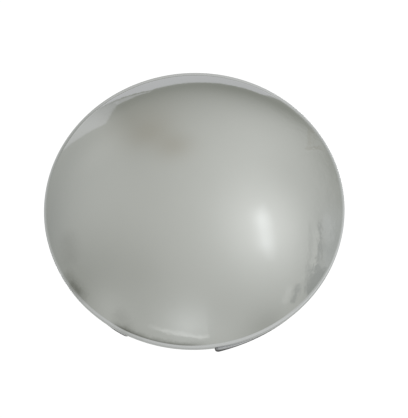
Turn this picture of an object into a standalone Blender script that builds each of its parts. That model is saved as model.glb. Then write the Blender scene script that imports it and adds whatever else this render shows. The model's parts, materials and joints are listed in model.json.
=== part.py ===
"""A round convex road mirror of polished stainless steel, on an adjustable wall bracket.

The mirror faces -Y and +Z is up. The origin is the middle of the wall bracket's back face, which lies
in the plane y = 0, so everything else stands in front of it at negative y. Lengths are in metres.

From the wall outwards: wall bracket, swing pivot (turns about Z), square arm, tilt pivot (turns about X),
head bracket, two rails, back pan, rubber edge seal, mirror face.
"""

import math

import bmesh
import bpy
from mathutils import Matrix

MM = 0.001
GAP = 0.3 * MM  # between pieces that touch on the real object

# Mirror face: one pressed sheet, a spherical dome with a flat flange, a skirt and an inward lip.
FACE_RADIUS = 300 * MM
DOME_EDGE_RADIUS = 294 * MM
DOME_EDGE_SLOPE = math.radians(40)
FACE_SHEET = 1 * MM
SKIRT_DEPTH = 10 * MM
LIP_WIDTH = 16 * MM
BEND_RADIUS = 2 * MM

# Edge seal: a flat rubber strip with a drain gap at the bottom, whose two ends stand out past the skirt.
# Angles are from straight down, positive towards +X. An end's stand-out fades with the angle from it.
SEAL_THICKNESS = 6 * MM
SEAL_RADIUS = 298 * MM
SEAL_WIDTH = 16.5 * MM
SEAL_RIGHT_END = {"angle": math.radians(8.4), "stand_out": 8.4 * MM, "reach": math.radians(14), "power": 1.1}
SEAL_LEFT_END = {"angle": math.radians(-24), "stand_out": 3.2 * MM, "reach": math.radians(8.5), "power": 3}

# Back pan: flange, stiffening step, flat floor, breather holes near the bottom.
PAN_SHEET = 1.2 * MM
PAN_FLANGE_RADIUS = 297 * MM
PAN_FLANGE_INNER = 282 * MM
PAN_STEP_RADII = (252 * MM, 276 * MM)
PAN_STEP_HEIGHT = 12 * MM
PAN_FLOOR_RADIUS = 236 * MM
PAN_FLOOR_HEIGHT = 28 * MM
BREATHER_CIRCLE_RADIUS = 264 * MM
BREATHER_RADIUS = 4 * MM
BREATHER_ANGLES = (-16, -8, 0)  # degrees from straight down

# Rim screws: through the pan's flange and the seal into the mirror face's lip.
RIM_SCREW_CIRCLE = 291 * MM
RIM_SCREW_COUNT = 8
RIM_SCREW_FIRST = math.radians(22.5)
RIM_SCREW = {"shank": 2.4 * MM, "flats": 8 * MM, "head": 4.2 * MM, "collar": (5.2 * MM, 1 * MM)}
RIM_SCREW_TIP = 4 * MM  # past the lip

# Rails: two upright hat sections between the pan and the head bracket.
RAIL_X = 54 * MM
RAIL_CROWN = 32 * MM
RAIL_FLANGE = 16 * MM
RAIL_HEIGHT = 16 * MM
RAIL_SHEET = 2 * MM
RAIL_LENGTH = 400 * MM
RIVET_Z = 172 * MM

# Brackets and arm.
PLATE = 4 * MM
ARM_SIDE = 50 * MM
ARM_WALL = 4 * MM
ARM_END = 20 * MM  # tube beyond each pivot
PIVOT_SPACING = 92 * MM
SWING_PIVOT_Y = -50 * MM
TILT_PIVOT_Y = SWING_PIVOT_Y - PIVOT_SPACING
LOCK_RADIUS = 28 * MM  # from a pivot to its lock bolt
EAR_MARGIN = 13 * MM
EAR_HALF_WIDTH = 30 * MM
FRICTION_WASHER = 1.5 * MM
EAR_INNER = ARM_SIDE / 2 + FRICTION_WASHER + 2 * GAP
EAR_OUTER = EAR_INNER + PLATE
TILT_RANGE = math.radians(25)
SWING_RANGE = math.radians(30)
SLOT_SPARE = math.radians(0.6)
HEAD_PLATE_SIZE = (150 * MM, 110 * MM)
HEAD_PLATE_Y = TILT_PIVOT_Y - 38 * MM  # its face towards the arm
BRACKET_BOLT_Z = 38 * MM
WALL_PLATE_SIZE = (150 * MM, 130 * MM)
WALL_PLATE = 5 * MM
WALL_SLOT_SPACING = (112 * MM, 90 * MM)
WALL_SLOT = (20 * MM, 11 * MM)
GUSSET = 24 * MM

# Planes along Y, each worked out from the one behind it.
RAIL_BACK_Y = HEAD_PLATE_Y - PLATE - GAP
PAN_BACK_Y = RAIL_BACK_Y - RAIL_HEIGHT - GAP
PAN_FLANGE_FRONT_Y = PAN_BACK_Y - PAN_FLOOR_HEIGHT - PAN_SHEET
SEAL_BACK_Y = PAN_FLANGE_FRONT_Y - GAP
SKIRT_BACK_Y = SEAL_BACK_Y - SEAL_THICKNESS - GAP
FACE_PLANE_Y = SKIRT_BACK_Y - SKIRT_DEPTH
DOME_SPHERE_RADIUS = DOME_EDGE_RADIUS / math.sin(DOME_EDGE_SLOPE)
DOME_CENTRE_Y = FACE_PLANE_Y + DOME_SPHERE_RADIUS * math.cos(DOME_EDGE_SLOPE)

# Metric fasteners: shank radius, width across flats, head and nut heights,
# then the flange's radius or the washer's radius and thickness.
M8 = {"shank": 4 * MM, "flats": 13 * MM, "head": 5.3 * MM, "nut": 8 * MM, "flange": 9 * MM}
M10 = {"shank": 5 * MM, "flats": 16 * MM, "head": 6.4 * MM, "nut": 8.4 * MM, "washer": (10 * MM, 2 * MM)}
M12 = {"shank": 6 * MM, "flats": 18 * MM, "head": 7.5 * MM, "nut": 10.8 * MM, "washer": (12 * MM, 2.5 * MM)}
HOLE_CLEARANCE = 0.5 * MM
THREAD_CLEARANCE = 0.3 * MM
RIVET_SHANK = 2.4 * MM
RIVET_HEAD = (4.8 * MM, 1.6 * MM)
RIVET_BULB = (3.4 * MM, 4 * MM)

HEAD_SEGMENTS = 48
ROUND_SEGMENTS = 16

FINISHES = {  # colour, metallic, roughness
    "polished_stainless": ((0.62, 0.63, 0.60), 1.0, 0.08),
    "satin_stainless": ((0.55, 0.56, 0.55), 1.0, 0.35),
    "galvanised_steel": ((0.50, 0.52, 0.53), 1.0, 0.5),
    "zinc_plate": ((0.66, 0.66, 0.64), 1.0, 0.3),
    "black_rubber": ((0.02, 0.02, 0.02), 0.0, 0.8),
    "black_plastic": ((0.03, 0.03, 0.03), 0.0, 0.5),
    "white_nylon": ((0.75, 0.74, 0.70), 0.0, 0.45),
}


# ---------------------------------------------------------------- scene and material helpers


def clear_scene():
    for found in list(bpy.data.objects):
        bpy.data.objects.remove(found)


def material(name):
    """The Principled material of that finish, made once and shared."""
    found = bpy.data.materials.get(name)
    if found:
        return found
    colour, metallic, roughness = FINISHES[name]
    made = bpy.data.materials.new(name)
    made.use_nodes = True
    shader = made.node_tree.nodes["Principled BSDF"]
    shader.inputs["Base Color"].default_value = (*colour, 1)
    shader.inputs["Metallic"].default_value = metallic
    shader.inputs["Roughness"].default_value = roughness
    return made


def object_of(name, bm, finish=None):
    """A new object from a bmesh, with its faces turned outwards."""
    bmesh.ops.recalc_face_normals(bm, faces=bm.faces)
    mesh = bpy.data.meshes.new(name)
    bm.to_mesh(mesh)
    bm.free()
    made = bpy.data.objects.new(name, mesh)
    bpy.context.scene.collection.objects.link(made)
    if finish:
        mesh.materials.append(material(finish))
    return made


def smooth(part, angle=math.radians(35)):
    part.data.shade_smooth()
    part.data.set_sharp_from_angle(angle=angle)
    return part


def empty(name, place, parent=None):
    """An axis marker that moving pieces hang from."""
    made = bpy.data.objects.new(name, None)
    bpy.context.scene.collection.objects.link(made)
    made.location = place
    if parent:
        attach(made, parent)
    bpy.context.view_layer.update()
    return made


def attach(part, parent):
    """Parents the part and leaves it where it is."""
    bpy.context.view_layer.update()
    part.parent = parent
    part.matrix_parent_inverse = parent.matrix_world.inverted()


def combine(part, other, operation):
    """Cuts the other shape from the part, or joins it on, and removes the other shape."""
    modifier = part.modifiers.new(operation.lower(), "BOOLEAN")
    modifier.operation = operation
    modifier.solver = "EXACT"
    modifier.object = other
    bpy.context.view_layer.update()
    graph = bpy.context.evaluated_depsgraph_get()
    result = bpy.data.meshes.new_from_object(part.evaluated_get(graph))
    part.modifiers.clear()
    old = part.data
    part.data = result
    result.name = part.name
    bpy.data.meshes.remove(old)
    bpy.data.objects.remove(other)
    return part


def cut(part, *cutters):
    for cutter in cutters:
        combine(part, cutter, "DIFFERENCE")
    return part


def join(part, *others):
    for other in others:
        combine(part, other, "UNION")
    return part


# ---------------------------------------------------------------- shape helpers


def arc(centre, radius, start, end, steps):
    """Points on a circle in a plane, both ends included. Angles are in radians."""
    return [
        (
            centre[0] + radius * math.cos(start + (end - start) * i / steps),
            centre[1] + radius * math.sin(start + (end - start) * i / steps),
        )
        for i in range(steps + 1)
    ]


def turned(name, profile, finish=None, segments=ROUND_SEGMENTS, rings=False):
    """A solid of revolution about the Y axis, from (radius, y) points. rings closes it off the axis."""
    bm = bmesh.new()
    verts = [bm.verts.new((radius, y, 0)) for radius, y in profile]
    pairs = zip(verts, verts[1:] + verts[:1]) if rings else zip(verts, verts[1:])
    edges = [bm.edges.new(pair) for pair in pairs]
    bmesh.ops.spin(
        bm,
        geom=verts + edges,
        cent=(0, 0, 0),
        axis=(0, 1, 0),
        angle=2 * math.pi,
        steps=segments,
        use_merge=True,
        use_duplicate=False,
    )
    bmesh.ops.remove_doubles(bm, verts=bm.verts, dist=1e-7)
    return object_of(name, bm, finish)


def prism(name, outline, low, high, normal, finish=None):
    """An outline extruded along one axis, from low to high.

    The outline's two coordinates are the other two axes in X, Y, Z order.
    """
    places = {
        "X": lambda a, b, depth: (depth, a, b),
        "Y": lambda a, b, depth: (a, depth, b),
        "Z": lambda a, b, depth: (a, b, depth),
    }
    place = places[normal]
    bm = bmesh.new()
    face = bm.faces.new([bm.verts.new(place(a, b, low)) for a, b in outline])
    grown = bmesh.ops.extrude_face_region(bm, geom=[face])
    moved = [item for item in grown["geom"] if isinstance(item, bmesh.types.BMVert)]
    bmesh.ops.translate(bm, verts=moved, vec=place(0, 0, high - low))
    return object_of(name, bm, finish)


def rounded_rectangle(width, height, radius, steps=4):
    """An outline centred on the origin, with rounded corners."""
    a, b = width / 2 - radius, height / 2 - radius
    corners = ((a, b), (-a, b), (-a, -b), (a, -b))
    return [
        point
        for i, corner in enumerate(corners)
        for point in arc(corner, radius, i * math.pi / 2, (i + 1) * math.pi / 2, steps)
    ]


def moved_outline(outline, a, b):
    return [(x + a, y + b) for x, y in outline]


def cylinder(name, radius, low, high, axis, at=(0, 0), segments=ROUND_SEGMENTS):
    """A round bar or cutter along an axis. at gives the other two coordinates in X, Y, Z order."""
    outline = moved_outline(arc((0, 0), radius, 0, 2 * math.pi, segments)[:-1], *at)
    return prism(name, outline, low, high, axis)


def arc_slot(radius, half_angle, half_width, toward):
    """The outline of a curved slot about the origin, centred on the direction toward, in radians."""
    first, last = toward - half_angle, toward + half_angle
    centre_first = (radius * math.cos(first), radius * math.sin(first))
    centre_last = (radius * math.cos(last), radius * math.sin(last))
    return (
        arc((0, 0), radius + half_width, first, last, 8)[:-1]
        + arc(centre_last, half_width, last, last + math.pi, 6)[:-1]
        + arc((0, 0), radius - half_width, last, first, 8)[:-1]
        + arc(centre_first, half_width, first + math.pi, first + 2 * math.pi, 6)[:-1]
    )


def direction_down(angle):
    """The (x, z) direction at an angle from straight down, positive towards +X."""
    return math.sin(angle), -math.cos(angle)


# ---------------------------------------------------------------- mirror head


def dome_y(radius, inset=0.0):
    """The y of the dome's front surface at a radius from its axis, or of its inner surface with an inset."""
    return DOME_CENTRE_Y - math.sqrt((DOME_SPHERE_RADIUS - inset) ** 2 - radius**2)


def mirror_face():
    """Dome, flange, skirt and lip in one sheet: front surface outwards, then the inner surface back."""
    steps = 9
    plane, back = FACE_PLANE_Y, SKIRT_BACK_Y
    inner_edge = DOME_EDGE_RADIUS + 0.3 * MM
    front = [(DOME_EDGE_RADIUS * i / steps, dome_y(DOME_EDGE_RADIUS * i / steps)) for i in range(steps + 1)]
    corner = FACE_RADIUS - BEND_RADIUS
    front += arc((corner, plane + BEND_RADIUS), BEND_RADIUS, -math.pi / 2, 0, 2)
    front += arc((corner, back - BEND_RADIUS), BEND_RADIUS, 0, math.pi / 2, 2)
    front += [(FACE_RADIUS - LIP_WIDTH, back), (FACE_RADIUS - LIP_WIDTH, back - FACE_SHEET)]
    bend = BEND_RADIUS - FACE_SHEET
    inner = arc((corner, back - BEND_RADIUS), bend, math.pi / 2, 0, 2)
    inner += arc((corner, plane + BEND_RADIUS), bend, 0, -math.pi / 2, 2)
    inner += [(inner_edge, plane + FACE_SHEET)]
    dome = [(inner_edge * i / steps, dome_y(inner_edge * i / steps, FACE_SHEET)) for i in range(steps)]
    face = turned("mirror_face", front + inner + dome[::-1], "polished_stainless", HEAD_SEGMENTS)
    radius = RIM_SCREW["shank"] + THREAD_CLEARANCE
    for at in rim_screw_places():
        cut(face, cylinder("cutter", radius, back - 3 * FACE_SHEET, back + FACE_SHEET, "Y", at, 8))
    return smooth(face)


def seal_path():
    """(point, outward direction) pairs along the strip's outer edge in the XZ plane, end to end."""
    first, last = SEAL_RIGHT_END["angle"], SEAL_LEFT_END["angle"] + 2 * math.pi
    fine, fine_steps, coarse_steps = math.radians(2), 8, 44
    start, stop = first + fine * fine_steps, last - fine * fine_steps
    angles = [first + fine * i for i in range(fine_steps)]
    angles += [start + (stop - start) * i / coarse_steps for i in range(coarse_steps)]
    angles += [stop + fine * i for i in range(fine_steps + 1)]
    path = []
    for angle in angles:
        radius = SEAL_RADIUS
        for end, away in ((SEAL_RIGHT_END, angle - first), (SEAL_LEFT_END, last - angle)):
            radius += end["stand_out"] * math.exp(-((max(away, 0) / end["reach"]) ** end["power"]))
        across, up = direction_down(angle)
        path.append(((radius * across, radius * up), (across, up)))
    return path


def edge_seal():
    """A rounded rubber section swept round the mirror, open at the bottom, with a hole for each rim screw."""
    section = moved_outline(
        rounded_rectangle(SEAL_WIDTH, SEAL_THICKNESS, 2 * MM, 2),
        -SEAL_WIDTH / 2,
        SEAL_BACK_Y - SEAL_THICKNESS / 2,
    )
    bm = bmesh.new()
    rings = []
    for (x, z), (across, up) in seal_path():
        rings.append([bm.verts.new((x + across * inset, y, z + up * inset)) for inset, y in section])
    for ring, following in zip(rings, rings[1:]):
        for i in range(len(ring)):
            j = (i + 1) % len(ring)
            bm.faces.new((ring[i], ring[j], following[j], following[i]))
    bm.faces.new(rings[0])
    bm.faces.new(rings[-1][::-1])
    seal = object_of("edge_seal", bm, "black_rubber")
    low, high = SEAL_BACK_Y - 2 * SEAL_THICKNESS, SEAL_BACK_Y + SEAL_THICKNESS
    for at in rim_screw_places():
        cut(seal, cylinder("cutter", RIM_SCREW["shank"] + THREAD_CLEARANCE, low, high, "Y", at, 8))
    return smooth(seal)


def rim_screw_places():
    """(x, z) of each rim screw."""
    angles = [RIM_SCREW_FIRST + 2 * math.pi * i / RIM_SCREW_COUNT for i in range(RIM_SCREW_COUNT)]
    return [(RIM_SCREW_CIRCLE * math.cos(a), RIM_SCREW_CIRCLE * math.sin(a)) for a in angles]


def rim_screws():
    """Hexagon tapping screws with a collar, heads on the back pan's flange."""
    head_y = PAN_FLANGE_FRONT_Y + PAN_SHEET + GAP
    tip_y = SKIRT_BACK_Y - FACE_SHEET - RIM_SCREW_TIP
    shank, (collar, collar_height) = RIM_SCREW["shank"], RIM_SCREW["collar"]
    profile = [
        (0, tip_y),
        (shank * 0.4, tip_y),
        (shank, tip_y + 1.5 * MM),
        (shank, head_y),
        (collar, head_y),
        (collar, head_y + collar_height),
        (0, head_y + collar_height),
    ]
    pieces = []
    for number, (x, z) in enumerate(rim_screw_places(), 1):
        screw = turned(f"rim_screw_{number}", profile, "satin_stainless", 10)
        low, high = head_y + collar_height / 2, head_y + RIM_SCREW["head"]
        join(screw, prism("head", hexagon(RIM_SCREW["flats"]), low, high, "Y"))
        screw.location = (x, 0, z)
        pieces.append(smooth(screw))
    return pieces


def pan_profile():
    """(radius, height above the flange) along the pan's sheet, from the middle out."""
    floor, step = PAN_FLOOR_HEIGHT, PAN_STEP_HEIGHT
    step_in, step_out = PAN_STEP_RADII
    bevel = 1.5 * MM
    return [
        (0, floor),
        (PAN_FLOOR_RADIUS - 2 * bevel, floor),
        (PAN_FLOOR_RADIUS, floor - bevel),
        (step_in - 2 * bevel, step + bevel),
        (step_in, step),
        (step_out - bevel, step),
        (step_out, step - bevel),
        (PAN_FLANGE_INNER - bevel, bevel),
        (PAN_FLANGE_INNER, 0),
        (PAN_FLANGE_RADIUS, 0),
    ]


def back_pan():
    """The pressed pan, with holes for rim screws, rivets and air."""
    front = [(radius, PAN_FLANGE_FRONT_Y + height) for radius, height in pan_profile()]
    back = [(radius, y + PAN_SHEET) for radius, y in front]
    pan = turned("back_pan", back + front[::-1], "satin_stainless", HEAD_SEGMENTS)
    holes = [(at, RIM_SCREW["shank"] + THREAD_CLEARANCE) for at in rim_screw_places()]
    holes += [(at, RIVET_SHANK + THREAD_CLEARANCE) for at in rivet_places()]
    for angle in BREATHER_ANGLES:
        across, up = direction_down(math.radians(angle))
        holes.append(((BREATHER_CIRCLE_RADIUS * across, BREATHER_CIRCLE_RADIUS * up), BREATHER_RADIUS))
    low, high = PAN_FLANGE_FRONT_Y - 2 * PAN_SHEET, PAN_BACK_Y + 2 * PAN_SHEET
    for at, radius in holes:
        cut(pan, cylinder("cutter", radius, low, high, "Y", at, 8))
    return smooth(pan)


def rail(name, side):
    """An upright hat section: two flanges on the pan and a crown under the head bracket."""
    half = RAIL_CROWN / 2
    back, front = RAIL_BACK_Y, RAIL_BACK_Y - RAIL_HEIGHT
    t = RAIL_SHEET
    slope = 2 * MM
    outline = [
        (half + RAIL_FLANGE, front),
        (half + RAIL_FLANGE, front + t),
        (half + slope, front + t),
        (half, back - slope),
        (half - slope, back),
        (-half + slope, back),
        (-half, back - slope),
        (-half - slope, front + t),
        (-half - RAIL_FLANGE, front + t),
        (-half - RAIL_FLANGE, front),
        (-half - slope + t, front),
        (-half + t, back - slope - 0.4 * t),
        (-half + slope + 0.4 * t, back - t),
        (half - slope - 0.4 * t, back - t),
        (half - t, back - slope - 0.4 * t),
        (half + slope - t, front),
    ]
    outline = moved_outline(outline, side * RAIL_X, 0)
    made = prism(name, outline, -RAIL_LENGTH / 2, RAIL_LENGTH / 2, "Z", "galvanised_steel")
    for x, z in rivet_places():
        if x * side > 0:
            radius = RIVET_SHANK + THREAD_CLEARANCE
            cut(made, cylinder("cutter", radius, front - t, front + 2 * t, "Y", (x, z), 8))
    for x, z in bracket_bolt_places():
        if x * side > 0:
            radius = M8["shank"] + HOLE_CLEARANCE
            cut(made, cylinder("cutter", radius, back - 2 * t, back + t, "Y", (x, z), 12))
    return made


def rivet_places():
    """(x, z) of each rivet: both flanges of both rails, near their ends."""
    offset = RAIL_CROWN / 2 + RAIL_FLANGE / 2 + 1 * MM
    return [
        (side * RAIL_X + flange * offset, up * RIVET_Z)
        for side in (-1, 1)
        for up in (-1, 1)
        for flange in (-1, 1)
    ]


def rail_rivets():
    """Blind rivets: a domed head on the rail's flange and a set bulb inside the pan."""
    head_radius, head_height = RIVET_HEAD
    bulb_radius, bulb_height = RIVET_BULB
    head_y = RAIL_BACK_Y - RAIL_HEIGHT + RAIL_SHEET + GAP
    bulb_y = PAN_BACK_Y - PAN_SHEET - GAP
    profile = [
        (0, bulb_y - bulb_height),
        (bulb_radius * 0.7, bulb_y - bulb_height),
        (bulb_radius, bulb_y),
        (RIVET_SHANK, bulb_y),
        (RIVET_SHANK, head_y),
        (head_radius, head_y),
        (head_radius * 0.6, head_y + head_height),
        (0, head_y + head_height),
    ]
    pieces = []
    for number, (x, z) in enumerate(rivet_places(), 1):
        rivet = turned(f"rail_rivet_{number}", profile, "zinc_plate", 10)
        rivet.location = (x, 0, z)
        pieces.append(smooth(rivet))
    return pieces


def ear_outline(base, pivot, toward):
    """The (along Y, across) outline of a bracket ear, from its base to its round end.

    toward is +1 or -1: the way along Y from the pivot to the round end.
    """
    reach = LOCK_RADIUS + EAR_MARGIN
    half_angle = math.asin(EAR_HALF_WIDTH / reach)
    middle = 0 if toward > 0 else math.pi
    end = arc((pivot, 0), reach, middle - half_angle, middle + half_angle, 8)
    first = (base, end[0][1])
    last = (base, end[-1][1])
    return [first, *end, last]


def head_bracket():
    """Base plate on the rails, with two upright ears that hold the tilt pivot and its curved lock slots."""
    width, height = HEAD_PLATE_SIZE
    front = HEAD_PLATE_Y - PLATE
    bracket = prism(
        "head_bracket",
        rounded_rectangle(width, height, 10 * MM),
        front,
        HEAD_PLATE_Y,
        "Y",
        "galvanised_steel",
    )
    outline = ear_outline(HEAD_PLATE_Y - PLATE / 2, TILT_PIVOT_Y, 1)
    for side in (-1, 1):
        low, high = sorted((side * EAR_INNER, side * EAR_OUTER))
        join(bracket, prism("ear", outline, low, high, "X"))
    span = EAR_OUTER + 5 * MM
    slot = moved_outline(
        arc_slot(LOCK_RADIUS, TILT_RANGE + SLOT_SPARE, M10["shank"] + HOLE_CLEARANCE, 0),
        TILT_PIVOT_Y,
        0,
    )
    cut(
        bracket,
        prism("cutter", slot, -span, span, "X"),
        cylinder("cutter", M12["shank"] + HOLE_CLEARANCE, -span, span, "X", (TILT_PIVOT_Y, 0)),
    )
    for at in bracket_bolt_places():
        radius = M8["shank"] + HOLE_CLEARANCE
        cut(bracket, cylinder("cutter", radius, front - PLATE, HEAD_PLATE_Y + PLATE, "Y", at, 12))
    return bracket


def bracket_bolt_places():
    """(x, z) of the four bolts that hold the head bracket to the rails."""
    return [(side * RAIL_X, up * BRACKET_BOLT_Z) for side in (-1, 1) for up in (-1, 1)]


def bracket_bolts():
    """M8 bolts from inside the rails, with flange nuts on the head bracket's back."""
    pieces = []
    crown_inside = RAIL_BACK_Y - RAIL_SHEET - GAP
    for number, (x, z) in enumerate(bracket_bolt_places(), 1):
        length = HEAD_PLATE_Y + GAP + M8["nut"] + 2 * MM - crown_inside
        bolt = hex_bolt(f"bracket_bolt_{number}", M8, length)
        place_along(bolt, (x, crown_inside, z), "+Y")
        nut = flange_nut(f"bracket_nut_{number}", M8)
        place_along(nut, (x, HEAD_PLATE_Y + GAP, z), "+Y")
        pieces += [bolt, nut]
    return pieces


# ---------------------------------------------------------------- fasteners


def place_along(part, place, direction):
    """Moves a piece made along +Y to a place, turned so that its +Y points along the direction."""
    turns = {
        "+Y": Matrix.Identity(3),
        "+X": Matrix.Rotation(-math.pi / 2, 3, "Z"),
        "-X": Matrix.Rotation(math.pi / 2, 3, "Z"),
        "+Z": Matrix.Rotation(math.pi / 2, 3, "X"),
        "-Z": Matrix.Rotation(-math.pi / 2, 3, "X"),
    }
    part.rotation_euler = turns[direction].to_euler()
    part.location = place
    return part


def hexagon(flats):
    radius = flats / math.sqrt(3)
    return arc((0, 0), radius, 0, 2 * math.pi, 6)[:-1]


def hex_bolt(name, size, length, finish="zinc_plate"):
    """A bolt whose head's bearing face is at y = 0: the shank runs to +Y and the head stands at -Y."""
    bolt = prism(name, hexagon(size["flats"]), -size["head"], 0, "Y", finish)
    radius = size["shank"]
    chamfer = 0.15 * radius
    inside = -1 * MM  # overlaps the head, so that the two join
    end = length - chamfer
    profile = [(0, inside), (radius, inside), (radius, end), (radius - chamfer, length), (0, length)]
    return smooth(join(bolt, turned("shank", profile, segments=12)))


def hex_nut(name, size, finish="zinc_plate"):
    """A nut that stands on y = 0 and reaches to +Y."""
    nut = prism(name, hexagon(size["flats"]), 0, size["nut"], "Y", finish)
    bore = cylinder("bore", size["shank"] + THREAD_CLEARANCE, -1 * MM, size["nut"] + 1 * MM, "Y", segments=12)
    return smooth(cut(nut, bore))


def flange_nut(name, size, finish="zinc_plate"):
    """A hexagon nut with a round flange at its foot."""
    nut = prism(name, hexagon(size["flats"]), 0.5 * MM, size["nut"], "Y", finish)
    flange = size["flange"]
    profile = [(0, 0), (flange, 0), (flange, 1 * MM), (0.7 * flange, 2 * MM), (0, 2 * MM)]
    skirt = turned("flange", profile, segments=12)
    bore = cylinder("bore", size["shank"] + THREAD_CLEARANCE, -1 * MM, size["nut"] + 1 * MM, "Y", segments=12)
    return smooth(cut(join(nut, skirt), bore))


def ring(name, inner, outer, thickness, finish):
    """A washer that lies on y = 0 and reaches to +Y."""
    profile = [(inner, 0), (outer, 0), (outer, thickness), (inner, thickness)]
    return smooth(turned(name, profile, finish, ROUND_SEGMENTS, rings=True))


def through_bolt(name, size, y, axis):
    """A bolt through both ears and the arm at one y, with its washers and nut. axis is X or Z."""
    washer_radius, washer = size["washer"]
    seat = EAR_OUTER + GAP
    bearing = seat + washer + GAP
    length = 2 * bearing + size["nut"] + 3 * MM
    hole = size["shank"] + HOLE_CLEARANCE

    def at(distance):
        return (distance, y, 0) if axis == "X" else (0, y, distance)

    bolt = place_along(hex_bolt(f"{name}_bolt", size, length), at(-bearing), f"+{axis}")
    nut = place_along(hex_nut(f"{name}_nut", size), at(bearing), f"+{axis}")
    washers = []
    for end, sign, mark in (("head", -1, "-"), ("nut", 1, "+")):
        made = ring(f"{name}_washer_{end}", hole, washer_radius, washer, "zinc_plate")
        washers.append(place_along(made, at(sign * seat), f"{mark}{axis}"))
    return [bolt, nut, *washers]


def friction_washers(name, size, y, axis):
    """Nylon washers between the arm and the ears."""
    inner = size["shank"] + HOLE_CLEARANCE
    place = ARM_SIDE / 2 + GAP
    pieces = []
    for end, sign, mark in (("a", -1, "-"), ("b", 1, "+")):
        at = (sign * place, y, 0) if axis == "X" else (0, y, sign * place)
        washer = ring(f"{name}_{end}", inner, 16 * MM, FRICTION_WASHER, "white_nylon")
        pieces.append(place_along(washer, at, f"{mark}{axis}"))
    return pieces


# ---------------------------------------------------------------- arm and wall bracket


def arm_tube():
    """Square tube with cross holes for both pivots and both lock bolts."""
    rear, front = SWING_PIVOT_Y + ARM_END, TILT_PIVOT_Y - ARM_END
    inside = ARM_SIDE - 2 * ARM_WALL
    outline = rounded_rectangle(ARM_SIDE, ARM_SIDE, 5 * MM, 3)
    hollow = rounded_rectangle(inside, inside, 2 * MM, 2)
    tube = prism("arm_tube", outline, front, rear, "Y", "galvanised_steel")
    cut(tube, prism("cutter", hollow, front - 5 * MM, rear + 5 * MM, "Y"))
    span = ARM_SIDE
    holes = (
        (M12, TILT_PIVOT_Y, "X"),
        (M10, TILT_PIVOT_Y + LOCK_RADIUS, "X"),
        (M12, SWING_PIVOT_Y, "Z"),
        (M10, SWING_PIVOT_Y - LOCK_RADIUS, "Z"),
    )
    for size, y, axis in holes:
        at = (y, 0) if axis == "X" else (0, y)
        cut(tube, cylinder("cutter", size["shank"] + HOLE_CLEARANCE, -span, span, axis, at))
    return smooth(tube)


def arm_cap(name, end_y, outward):
    """A square plastic plug: a flat head on the tube's end and a hollow skirt inside it."""
    inside = ARM_SIDE - 2 * ARM_WALL - 2 * GAP
    head = 3 * MM
    depth = 9 * MM
    start = end_y + outward * GAP
    low, high = sorted((start, start + outward * head))
    cap = prism(name, rounded_rectangle(ARM_SIDE, ARM_SIDE, 5 * MM, 3), low, high, "Y", "black_plastic")
    low, high = sorted((start + outward * 1 * MM, start - outward * depth))
    join(cap, prism("skirt", rounded_rectangle(inside, inside, 2 * MM, 2), low, high, "Y"))
    hollow = inside - 5 * MM
    low, high = sorted((start - outward * 1 * MM, start - outward * 2 * depth))
    return smooth(cut(cap, prism("cutter", rounded_rectangle(hollow, hollow, 2 * MM, 2), low, high, "Y")))


def wall_bracket():
    """Wall plate with four slots, two level ears for the swing pivot, and a gusset outside each ear."""
    width, height = WALL_PLATE_SIZE
    bracket = prism(
        "wall_bracket",
        rounded_rectangle(width, height, 12 * MM),
        -WALL_PLATE,
        0,
        "Y",
        "galvanised_steel",
    )
    along = [(across, y) for y, across in ear_outline(-WALL_PLATE / 2, SWING_PIVOT_Y, -1)]
    for side in (-1, 1):
        low, high = sorted((side * EAR_INNER, side * EAR_OUTER))
        join(bracket, prism("ear", along, low, high, "Z"))
        root, tip = side * (EAR_OUTER - 1 * MM), side * (EAR_OUTER + GUSSET)
        rib = [(-WALL_PLATE / 2, root), (-WALL_PLATE / 2, tip), (-WALL_PLATE - 2 * MM, tip)]
        rib += [(-WALL_PLATE - GUSSET, side * (EAR_OUTER + 2 * MM)), (-WALL_PLATE - GUSSET, root)]
        join(bracket, prism("gusset", rib, -PLATE / 2, PLATE / 2, "X"))
    span = EAR_OUTER + 5 * MM
    slot = arc_slot(LOCK_RADIUS, SWING_RANGE + SLOT_SPARE, M10["shank"] + HOLE_CLEARANCE, -math.pi / 2)
    cut(
        bracket,
        prism("cutter", moved_outline(slot, 0, SWING_PIVOT_Y), -span, span, "Z"),
        cylinder("cutter", M12["shank"] + HOLE_CLEARANCE, -span, span, "Z", (0, SWING_PIVOT_Y)),
    )
    slot_length, slot_width = WALL_SLOT
    for side in (-1, 1):
        for up in (-1, 1):
            outline = rounded_rectangle(slot_length, slot_width, slot_width / 2 - 0.01 * MM, 3)
            at = (side * WALL_SLOT_SPACING[0] / 2, up * WALL_SLOT_SPACING[1] / 2)
            cut(bracket, prism("cutter", moved_outline(outline, *at), -2 * WALL_PLATE, WALL_PLATE, "Y"))
    return bracket


# ---------------------------------------------------------------- assembly


def build():
    clear_scene()
    swing_axis = empty("swing_axis", (0, SWING_PIVOT_Y, 0))
    tilt_axis = empty("tilt_axis", (0, TILT_PIVOT_Y, 0), swing_axis)

    wall_bracket()
    through_bolt("swing_pivot", M12, SWING_PIVOT_Y, "Z")

    arm = [arm_tube()]
    arm.append(arm_cap("arm_cap_front", TILT_PIVOT_Y - ARM_END, -1))
    arm.append(arm_cap("arm_cap_rear", SWING_PIVOT_Y + ARM_END, 1))
    arm += friction_washers("swing_friction_washer", M12, SWING_PIVOT_Y, "Z")
    arm += friction_washers("tilt_friction_washer", M12, TILT_PIVOT_Y, "X")
    arm += through_bolt("swing_lock", M10, SWING_PIVOT_Y - LOCK_RADIUS, "Z")
    arm += through_bolt("tilt_lock", M10, TILT_PIVOT_Y + LOCK_RADIUS, "X")
    for part in arm:
        attach(part, swing_axis)

    head = [mirror_face(), edge_seal(), back_pan(), *rim_screws()]
    head += [rail("rail_left", -1), rail("rail_right", 1), *rail_rivets()]
    head += [head_bracket(), *bracket_bolts()]
    head += through_bolt("tilt_pivot", M12, TILT_PIVOT_Y, "X")
    for part in head:
        attach(part, tilt_axis)


build()
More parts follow.
